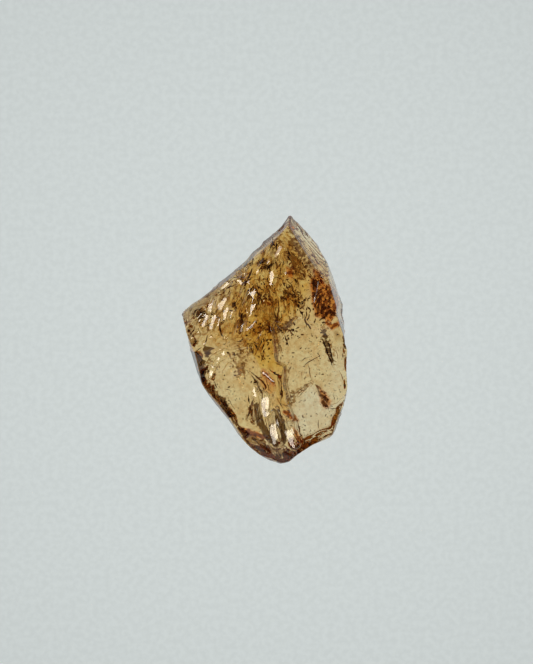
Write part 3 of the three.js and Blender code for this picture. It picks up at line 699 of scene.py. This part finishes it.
def vein(width, stain, rust, path):
    # a long leaf that follows a path just under the top face
    depth = shake.uniform(*VEIN_DEPTHS)
    points = []
    for start, end in zip(path, path[1:]):
        for share in (0, 0.33, 0.67):
            points.append(Vector((*start, 0)).lerp(Vector((*end, 0)), share))
    points.append(Vector((*path[-1], 0)))
    along = (points[-1] - points[0]).normalized()
    aside = Vector((-along.y, along.x, 0))
    spine = []
    for point in points:
        point += aside * shake.gauss(0, 0.15 * width)
        level = near_top(point.x, point.y, depth)
        if level is None:
            return None
        spine.append(Vector((point.x, point.y, level)))
    broad = Matrix.Rotation(shake.gauss(0, 0.2), 3, along) @ aside
    rings = len(spine) - 2
    widths = []
    for ring in range(rings):
        taper = min(1, 0.35 * (ring + 1), 0.35 * (rings - ring))
        widths.append(width * taper * shake.uniform(0.6, 1.2))
    return leaf(spine, broad, along.cross(broad), widths, stain * (1 - rust), stain * rust)


def strewn(nearest, stretch, first, last):
    # a random place below the hackles' root, and its heading from there
    reach_out = nearest + stretch * sqrt(shake.random())
    turn = radians(shake.uniform(first, last))
    return HACKLE_ROOT[0] + reach_out * cos(turn), HACKLE_ROOT[1] + reach_out * sin(turn), turn


shake = random.Random(11)
leaves = []
for settings in VEINS:
    made = vein(*settings)
    if made:
        leaves.append(made)
while len(leaves) < LEAVES_WITH_CLEAN:  # bunches of clean feathers, which mirror the light
    east, north, turn = strewn(1.5, 12.5, 195, 315)
    if in_feathers(east, north, 0.8) < 0.5:
        continue
    lean = radians(shake.choice((-1, 1)) * shake.uniform(30, 65))
    swing = shake.gauss(0, 0.3)
    deep = shake.uniform(0.5, 3)
    size = shake.uniform(0.8, 2.2)
    for _ in range(shake.randint(2, 9)):
        near_east = east + shake.gauss(0, 0.35)
        near_north = north + shake.gauss(0, 0.45)
        level = near_top(near_east, near_north, deep + shake.gauss(0, 0.2) + 0.2)
        if level is None or in_feathers(near_east, near_north, 0.8) < 0.5:
            continue
        leaves.append(feather(
            middle=Vector((near_east, near_north, level)),
            heading=turn + swing + shake.gauss(0, 0.15),
            dip=shake.gauss(0, 0.15),
            tilt=lean + shake.gauss(0, 0.15),
            length=size * shake.uniform(0.4, 1.1),
            width=size * shake.uniform(0.12, 0.3),
            curl=size * shake.gauss(0, 0.1),
            stain=0))
while len(leaves) < LEAVES_WITH_STAINED:  # bunches of stained ones, which show as dark brown streaks
    east, north, turn = strewn(0.8, 13, 190, 318)
    if in_feathers(east, north, 1.2) < shake.random():
        continue
    swing = shake.gauss(0, 0.3)
    deep = shake.uniform(0.25, 1.6)
    size = shake.uniform(0.3, 1.1)
    for _ in range(shake.randint(3, 14)):
        near_east = east + shake.gauss(0, 0.3)
        near_north = north + shake.gauss(0, 0.3)
        level = near_top(near_east, near_north, deep + shake.uniform(0, 0.3))
        if level is None:
            continue
        leaves.append(feather(
            middle=Vector((near_east, near_north, level)),
            heading=turn + swing + shake.gauss(0, 0.2),
            dip=shake.gauss(0, 0.1),
            tilt=shake.gauss(0, 0.35),
            length=size * shake.uniform(0.5, 1.3),
            width=size * shake.uniform(0.08, 0.24),
            curl=size * shake.gauss(0, 0.12),
            stain=shake.uniform(0.2, 1)))
for middle_east, middle_north, spread_out, number in SPECK_CLUSTERS:
    for _ in range(number):
        east = middle_east + shake.gauss(0, spread_out)
        north = middle_north + shake.gauss(0, spread_out)
        level = near_top(east, north, shake.uniform(0.3, 1.5))
        if level is not None:
            leaves.append(feather(
                middle=Vector((east, north, level)),
                heading=shake.uniform(0, 2 * pi),
                dip=0,
                tilt=shake.gauss(0, 0.3),
                length=shake.uniform(0.12, 0.38),
                width=shake.uniform(0.07, 0.16),
                curl=0.02,
                stain=1))

# the leaves become one mesh, which is joined to the stone
corners = []
faces = []
stains = []
rusts = []
for leaf_corners, leaf_faces, stain, rust in leaves:
    faces += [tuple(len(corners) + number for number in face) for face in leaf_faces]
    corners += [corner * MM for corner in leaf_corners]
    stains += [stain] * len(leaf_corners)
    rusts += [rust] * len(leaf_corners)
leaf_mesh = bpy.data.meshes.new("feathers")
leaf_mesh.from_pydata(corners, [], faces)
leaf_mesh.attributes.new("stained", "FLOAT", "POINT").data.foreach_set("value", stains)
leaf_mesh.attributes.new("rusted", "FLOAT", "POINT").data.foreach_set("value", rusts)
feathers = bpy.data.objects.new("feathers", leaf_mesh)
bpy.context.scene.collection.objects.link(feathers)
bpy.ops.object.select_all(action="DESELECT")
feathers.select_set(True)
crystal.select_set(True)
bpy.context.view_layer.objects.active = crystal
bpy.ops.object.join()

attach(crystal, "root")
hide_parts("tourmaline")


def material_of(name):
    # a new material, its node tree, and the shader that it comes with
    made = bpy.data.materials.new(name)
    made.use_nodes = True
    return made, made.node_tree, made.node_tree.nodes["Principled BSDF"]


def group_of(name, inputs, outputs):
    # an empty node group, the sockets for what it is asked, and those for what it gives
    made = bpy.data.node_groups.new(name, "ShaderNodeTree")
    for label, kind in inputs.items():
        made.interface.new_socket(label, in_out="INPUT", socket_type="NodeSocket" + kind)
    for label, kind in outputs.items():
        made.interface.new_socket(label, in_out="OUTPUT", socket_type="NodeSocket" + kind)
    return made, made.nodes.new("NodeGroupInput").outputs, made.nodes.new("NodeGroupOutput").inputs


def added(tree, kind, inputs, **settings):
    # a node with its settings made and its inputs linked or set, and the sockets that it gives
    made = tree.nodes.new(kind)
    for name, value in settings.items():
        setattr(made, name, value)
    for name, value in inputs.items():
        if isinstance(value, bpy.types.NodeSocket):
            tree.links.new(value, made.inputs[name])
        else:
            made.inputs[name].default_value = value
    return made.outputs


def arithmetic(tree, operation, *values):
    return added(tree, "ShaderNodeMath", dict(enumerate(values)), operation=operation)["Value"]


def product(tree, first, *others):
    for other in others:
        first = arithmetic(tree, "MULTIPLY", first, other)
    return first


# a piece's own coordinates turned into a heading and a distance about a root, in millimetres
fan_group, asked, given = group_of(
    "fan_coordinates", {"East": "Float", "North": "Float", "Wander": "Float"}, {"Along": "Vector"})
own = added(fan_group, "ShaderNodeTexCoord", {})["Object"]
scaled = added(fan_group, "ShaderNodeVectorMath", {0: own, "Scale": 1 / MM}, operation="SCALE")["Vector"]
drift = added(fan_group, "ShaderNodeTexNoise", {"Vector": scaled, "Scale": 0.5, "Detail": 1})["Fac"]
axes = added(fan_group, "ShaderNodeSeparateXYZ", {"Vector": scaled})
away_east = arithmetic(fan_group, "SUBTRACT", axes["X"], asked["East"])
away_north = arithmetic(fan_group, "SUBTRACT", axes["Y"], asked["North"])
heading = arithmetic(fan_group, "ARCTAN2", away_north, away_east)
bent = arithmetic(fan_group, "MULTIPLY_ADD", drift, asked["Wander"], heading)
east_squared = arithmetic(fan_group, "MULTIPLY", away_east, away_east)
distance_squared = arithmetic(fan_group, "MULTIPLY_ADD", away_north, away_north, east_squared)
distance = arithmetic(fan_group, "SQRT", distance_squared)
joined = added(fan_group, "ShaderNodeCombineXYZ", {"X": bent, "Y": distance, "Z": axes["Z"]})
fan_group.links.new(joined["Vector"], given["Along"])

# stretched noise, brought to 0 below one level and to 1 above another
grain_group, asked, given = group_of("grain", {
    "Along": "Vector", "Stretch": "Vector", "Start": "Vector", "Detail": "Float", "Low": "Float",
    "High": "Float"}, {"Amount": "Float"})
stretched = added(grain_group, "ShaderNodeMapping", {
    "Vector": asked["Along"], "Scale": asked["Stretch"], "Location": asked["Start"]})["Vector"]
speckle = added(grain_group, "ShaderNodeTexNoise", {
    "Vector": stretched, "Scale": 1, "Detail": asked["Detail"]})["Fac"]
level = added(grain_group, "ShaderNodeMapRange", {
    "Value": speckle, "From Min": asked["Low"], "From Max": asked["High"]}, interpolation_type="SMOOTHSTEP")
grain_group.links.new(level["Result"], given["Amount"])


def fan_about(tree, root):
    values = {"East": root[0], "North": root[1], "Wander": FAN_DRIFT}
    return added(tree, "ShaderNodeGroup", values, node_tree=fan_group)["Along"]


def grain(tree, along, scales, detail, low, high, start=0.0):
    # one scale is for a noise that isn't stretched
    if isinstance(scales, int):
        scales = (scales, scales, scales)
    values = {
        "Along": along, "Stretch": scales, "Start": (start, start, start), "Detail": detail, "Low": low,
        "High": high}
    return added(tree, "ShaderNodeGroup", values, node_tree=grain_group)["Amount"]


def marked(tree, name):
    return added(tree, "ShaderNodeAttribute", {}, attribute_name=name)["Fac"]


def ragged(tree, amount, roughness, reach):
    # a mark whose edge and inside are broken up by a noise
    lowered = arithmetic(tree, "SUBTRACT", amount, reach / 2)
    broken = arithmetic(tree, "MULTIPLY_ADD", roughness, reach, lowered)
    level = added(
        tree, "ShaderNodeMapRange", {"Value": broken, "From Min": 0.3, "From Max": 0.6},
        interpolation_type="SMOOTHSTEP")["Result"]
    near = arithmetic(tree, "MINIMUM", product(tree, amount, 5), 1)
    return product(tree, level, near)


def tinted(tree, below, colour, amount, blend="MULTIPLY"):
    # a colour laid over what is below it
    made = tree.nodes.new("ShaderNodeMix")
    made.data_type = "RGBA"
    made.blend_type = blend
    under, over = [socket for socket in made.inputs if socket.type == "RGBA"]
    over.default_value = (*colour, 1)
    if isinstance(below, tuple):
        under.default_value = (*below, 1)
    else:
        tree.links.new(below, under)
    tree.links.new(amount, made.inputs["Factor"])
    return next(socket for socket in made.outputs if socket.type == "RGBA")


golden_tourmaline, tree, glass = material_of("golden_tourmaline")
glass.inputs["Transmission Weight"].default_value = 1
glass.inputs["IOR"].default_value = REFRACTION
absorption = added(tree, "ShaderNodeVolumeAbsorption", {"Color": (*GOLDEN, 1), "Density": GOLDEN_DEPTH})
tree.links.new(absorption["Volume"], tree.nodes["Material Output"].inputs["Volume"])

# the noises that the stains are broken up by: scales, detail, two levels, and where each starts
fan = fan_about(tree, HACKLE_ROOT)
own = added(tree, "ShaderNodeTexCoord", {})["Object"]
along_bevel = added(
    tree, "ShaderNodeVectorRotate", {"Vector": own, "Angle": BEVEL_TURN}, rotation_type="Z_AXIS")["Vector"]
patches = grain(tree, fan, (4, 0.45, 0), 3, 0.42, 0.62)
streaks = grain(tree, fan, (22, 0.7, 0), 3, 0.46, 0.62, 3.0)
fine_streaks = grain(tree, fan, (60, 1.8, 0), 3, 0.5, 0.64, 8.0)
blots = grain(tree, fan, (7, 0.9, 0), 3, 0.36, 0.6, 6.0)
hackles = grain(tree, fan, (24, 2.5, 0), 3, 0.2, 0.8, 5.0)
specks = grain(tree, own, 4800, 2, 0.64, 0.68, 1.0)
sparse = grain(tree, own, 600, 2, 0.4, 0.58, 9.0)
haze = grain(tree, own, 600, 5, 0.42, 0.66, 12.0)
rim_cloud = grain(tree, own, 1300, 4, 0.34, 0.56, 7.0)
mottle = grain(tree, own, 2600, 5, 0.42, 0.66, 14.0)
crumbs = grain(tree, own, 3600, 3, 0.3, 0.7, 17.0)
striation = grain(tree, along_bevel, (5200, 180, 600), 3, 0.42, 0.62, 2.0)
strokes = grain(tree, fan_about(tree, STROKE_ROOT), (26, 0.9, 0), 3, 0.3, 0.7, 5.0)
hazy = arithmetic(tree, "SUBTRACT", 1, marked(tree, "clear"))
on_comb = marked(tree, "combed")
on_gold = marked(tree, "gold")
on_cloud = marked(tree, "cloud")
on_bevel = marked(tree, "bevel")
on_rust = marked(tree, "rusted")
dark = ragged(tree, marked(tree, "dark"), strokes, 0.7)
brown = ragged(tree, marked(tree, "brown"), crumbs, 0.8)
rusted = ragged(tree, on_rust, crumbs, 0.9)
rusty = arithmetic(tree, "MINIMUM", product(tree, on_rust, 2), 1)

# what is laid over the clear glass, in this order: its tint, and how strong it is from place to place
tints = [
    ((1, 0.95, 0.78), hazy),
    ((0.8, 0.58, 0.34), product(tree, haze, 0.38, hazy)),
    ((0.68, 0.46, 0.26), product(tree, mottle, arithmetic(tree, "MULTIPLY_ADD", hazy, 0.45, 0.1))),
    ((0.95, 0.78, 0.26), on_gold),
    ((0.85, 0.72, 0.5), product(tree, on_gold, rim_cloud)),
    ((1, 0.84, 0.38), on_cloud),
    ((0.8, 0.54, 0.22), product(tree, on_cloud, blots)),
    ((0.13, 0.055, 0.013), marked(tree, "stained")),
    ((0.31, 0.16, 0.05), product(tree, streaks, patches, on_comb)),
    ((0.68, 0.46, 0.22), product(tree, fine_streaks, on_comb)),
    # dark stains, and painted shade on the left-hand rim
    ((0.045, 0.021, 0.007), dark),
    # brown stains, and painted shade along the rims
    ((0.42, 0.27, 0.14), brown),
    ((0.3, 0.22, 0.16), product(tree, brown, rim_cloud)),
    # rust, and the darker top of the painted orange flash
    ((0.8, 0.22, 0.03), rusty),
    ((0.12, 0.05, 0.035), rusted),
    ((1, 0.9, 0.74), on_bevel),
    ((0.3, 0.2, 0.12), product(tree, on_bevel, striation)),
    # painted shade on the walls that face down under the rims
    ((0.55, 0.45, 0.35), marked(tree, "undercut_shade")),
    ((0.03, 0.01, 0.003), product(tree, specks, sparse)),
    # painted orange flash, laid on as amber colour
    ((0.86, 0.52, 0.25), marked(tree, "painted_flash")),
]
colour = (1, 1, 1)
for tint, amount in tints:
    colour = tinted(tree, colour, tint, amount)
tree.links.new(colour, glass.inputs["Base Color"])
worn = product(tree, marked(tree, "frost"), arithmetic(tree, "MULTIPLY_ADD", crumbs, 0.5, 0.25))
matte = arithmetic(tree, "ADD", worn, FRACTURE_DULLNESS)
tree.links.new(matte, glass.inputs["Roughness"])

relief = product(tree, hackles, on_comb, marked(tree, "below"))
bump = added(tree, "ShaderNodeBump", {"Strength": 1, "Distance": FINE_HACKLE_HEIGHT, "Height": relief})
tree.links.new(bump["Normal"], glass.inputs["Normal"])
crystal.data.materials.clear()
crystal.data.materials.append(golden_tourmaline)

# ---------------------------------------------------------------------------
# The table: one wide sheet of pale matt paper, laid flat, that the stone lies on.
# It is lit from below, so it glows evenly under the stone and dims further out.
# ---------------------------------------------------------------------------
TABLE_WIDTH = 4
TABLE_DROP = 0.05 * MM  # the gap under the stone, so that the two never touch
PAPER = (0.35, 0.37, 0.37)
PAPER_DULLNESS = 0.9
GLOW = (0.62, 0.668, 0.66)
GLOW_REACH = 0.19  # how far out the glow has dimmed to a quarter
TOOTH_SCALE = 1900
TOOTH_FLOOR = 0.95  # how bright the glow is in the dips of the paper's tooth
TOOTH_CONTRAST = 0.06  # and how much brighter it is on its rises

bpy.ops.object.select_all(action="DESELECT")
bpy.ops.mesh.primitive_plane_add(size=TABLE_WIDTH, location=(0, 0, -TABLE_DROP))
table = bpy.context.object
table.name = "table"
pale_sheet, tree, sheet = material_of("pale_sheet")
sheet.inputs["Base Color"].default_value = (*PAPER, 1)
sheet.inputs["Roughness"].default_value = PAPER_DULLNESS
sheet.inputs["Emission Strength"].default_value = 1
own = added(tree, "ShaderNodeTexCoord", {})["Object"]
away = added(tree, "ShaderNodeVectorMath", {0: own}, operation="LENGTH")["Value"]
dimmed = arithmetic(tree, "MULTIPLY_ADD", product(tree, away, away), 1 / GLOW_REACH ** 2, 1)
fall = arithmetic(tree, "POWER", dimmed, -2)
tooth = grain(tree, own, TOOTH_SCALE, 3, 0.3, 0.7)
fall = product(tree, fall, arithmetic(tree, "MULTIPLY_ADD", tooth, TOOTH_CONTRAST, TOOTH_FLOOR))
tree.links.new(tinted(tree, (0, 0, 0), GLOW, fall, blend="MIX"), sheet.inputs["Emission Color"])
table.data.materials.append(pale_sheet)

# ---------------------------------------------------------------------------
# The studio: a warm soft box high on the left, a wide one in front and a small
# lamp on the right, all turned to the stone, in a dim grey room.
# ---------------------------------------------------------------------------
LAMP_COLOUR = (1, 0.9, 0.76)
# name, place, size, power, and whether it shines straight into the glass
LAMPS = [
    ("soft_box_left", (-0.12, 0.16, 0.22), (0.09, 0.09), 0.25, False),
    ("small_lamp", (0.16, 0.1, 0.2), (0.03, 0.03), 0.02, True),
    ("soft_box_front", (-0.05, -0.21, 0.16), (0.2, 0.12), 0.05, False),
]
# the room's grey from this height up, as the upward share of the direction
ROOM = [(0.02, (0.09, 0.095, 0.095)), (0.35, (0.03, 0.03, 0.032))]

for name, place, size, power, shines_in in LAMPS:
    light = bpy.data.lights.new(name, "AREA")
    light.shape = "RECTANGLE"
    light.size, light.size_y = size
    light.energy = power
    light.color = LAMP_COLOUR
    lamp = bpy.data.objects.new(name, light)
    bpy.context.scene.collection.objects.link(lamp)
    lamp.location = place
    lamp.rotation_euler = (-lamp.location).to_track_quat("-Z", "Y").to_euler()
    lamp.visible_diffuse = False
    lamp.visible_transmission = shines_in

studio = bpy.data.worlds.new("studio")
bpy.context.scene.world = studio
studio.use_nodes = True
tree = studio.node_tree
direction = added(tree, "ShaderNodeTexCoord", {})["Generated"]
height = added(tree, "ShaderNodeSeparateXYZ", {"Vector": direction})["Z"]
walls = tree.nodes.new("ShaderNodeValToRGB")
tree.links.new(height, walls.inputs["Fac"])
for stop, (level, grey) in zip(walls.color_ramp.elements, ROOM):
    stop.position = level
    stop.color = (*grey, 1)
tree.links.new(walls.outputs["Color"], tree.nodes["Background"].inputs["Color"])

# ---------------------------------------------------------------------------
# The camera: a long lens on a stand over the table, looking straight down on
# the stone, with all of the stone in its frame.
# ---------------------------------------------------------------------------
FRAME_HEIGHT = 664 * 0.09 * MM  # what 664 pixels of 0.09 mm span at the stone's middle height
MIDDLE_HEIGHT = 3 * MM
AIM = (0.155 * MM, 0.76 * MM)
LENS_LENGTH = 85
SENSOR_WIDTH = 36

lens = bpy.data.cameras.new("camera")
lens.lens = LENS_LENGTH
lens.sensor_width = SENSOR_WIDTH
lens.clip_start = 0.005
lens.clip_end = 10
camera = bpy.data.objects.new("camera", lens)
bpy.context.scene.collection.objects.link(camera)
bpy.context.scene.camera = camera
camera.location = (*AIM, FRAME_HEIGHT * LENS_LENGTH / SENSOR_WIDTH + MIDDLE_HEIGHT)

scene = bpy.context.scene
scene.view_settings.view_transform = "Standard"
scene.cycles.max_bounces = 24
scene.cycles.transmission_bounces = 24
scene.cycles.glossy_bounces = 12
scene.cycles.transparent_max_bounces = 24
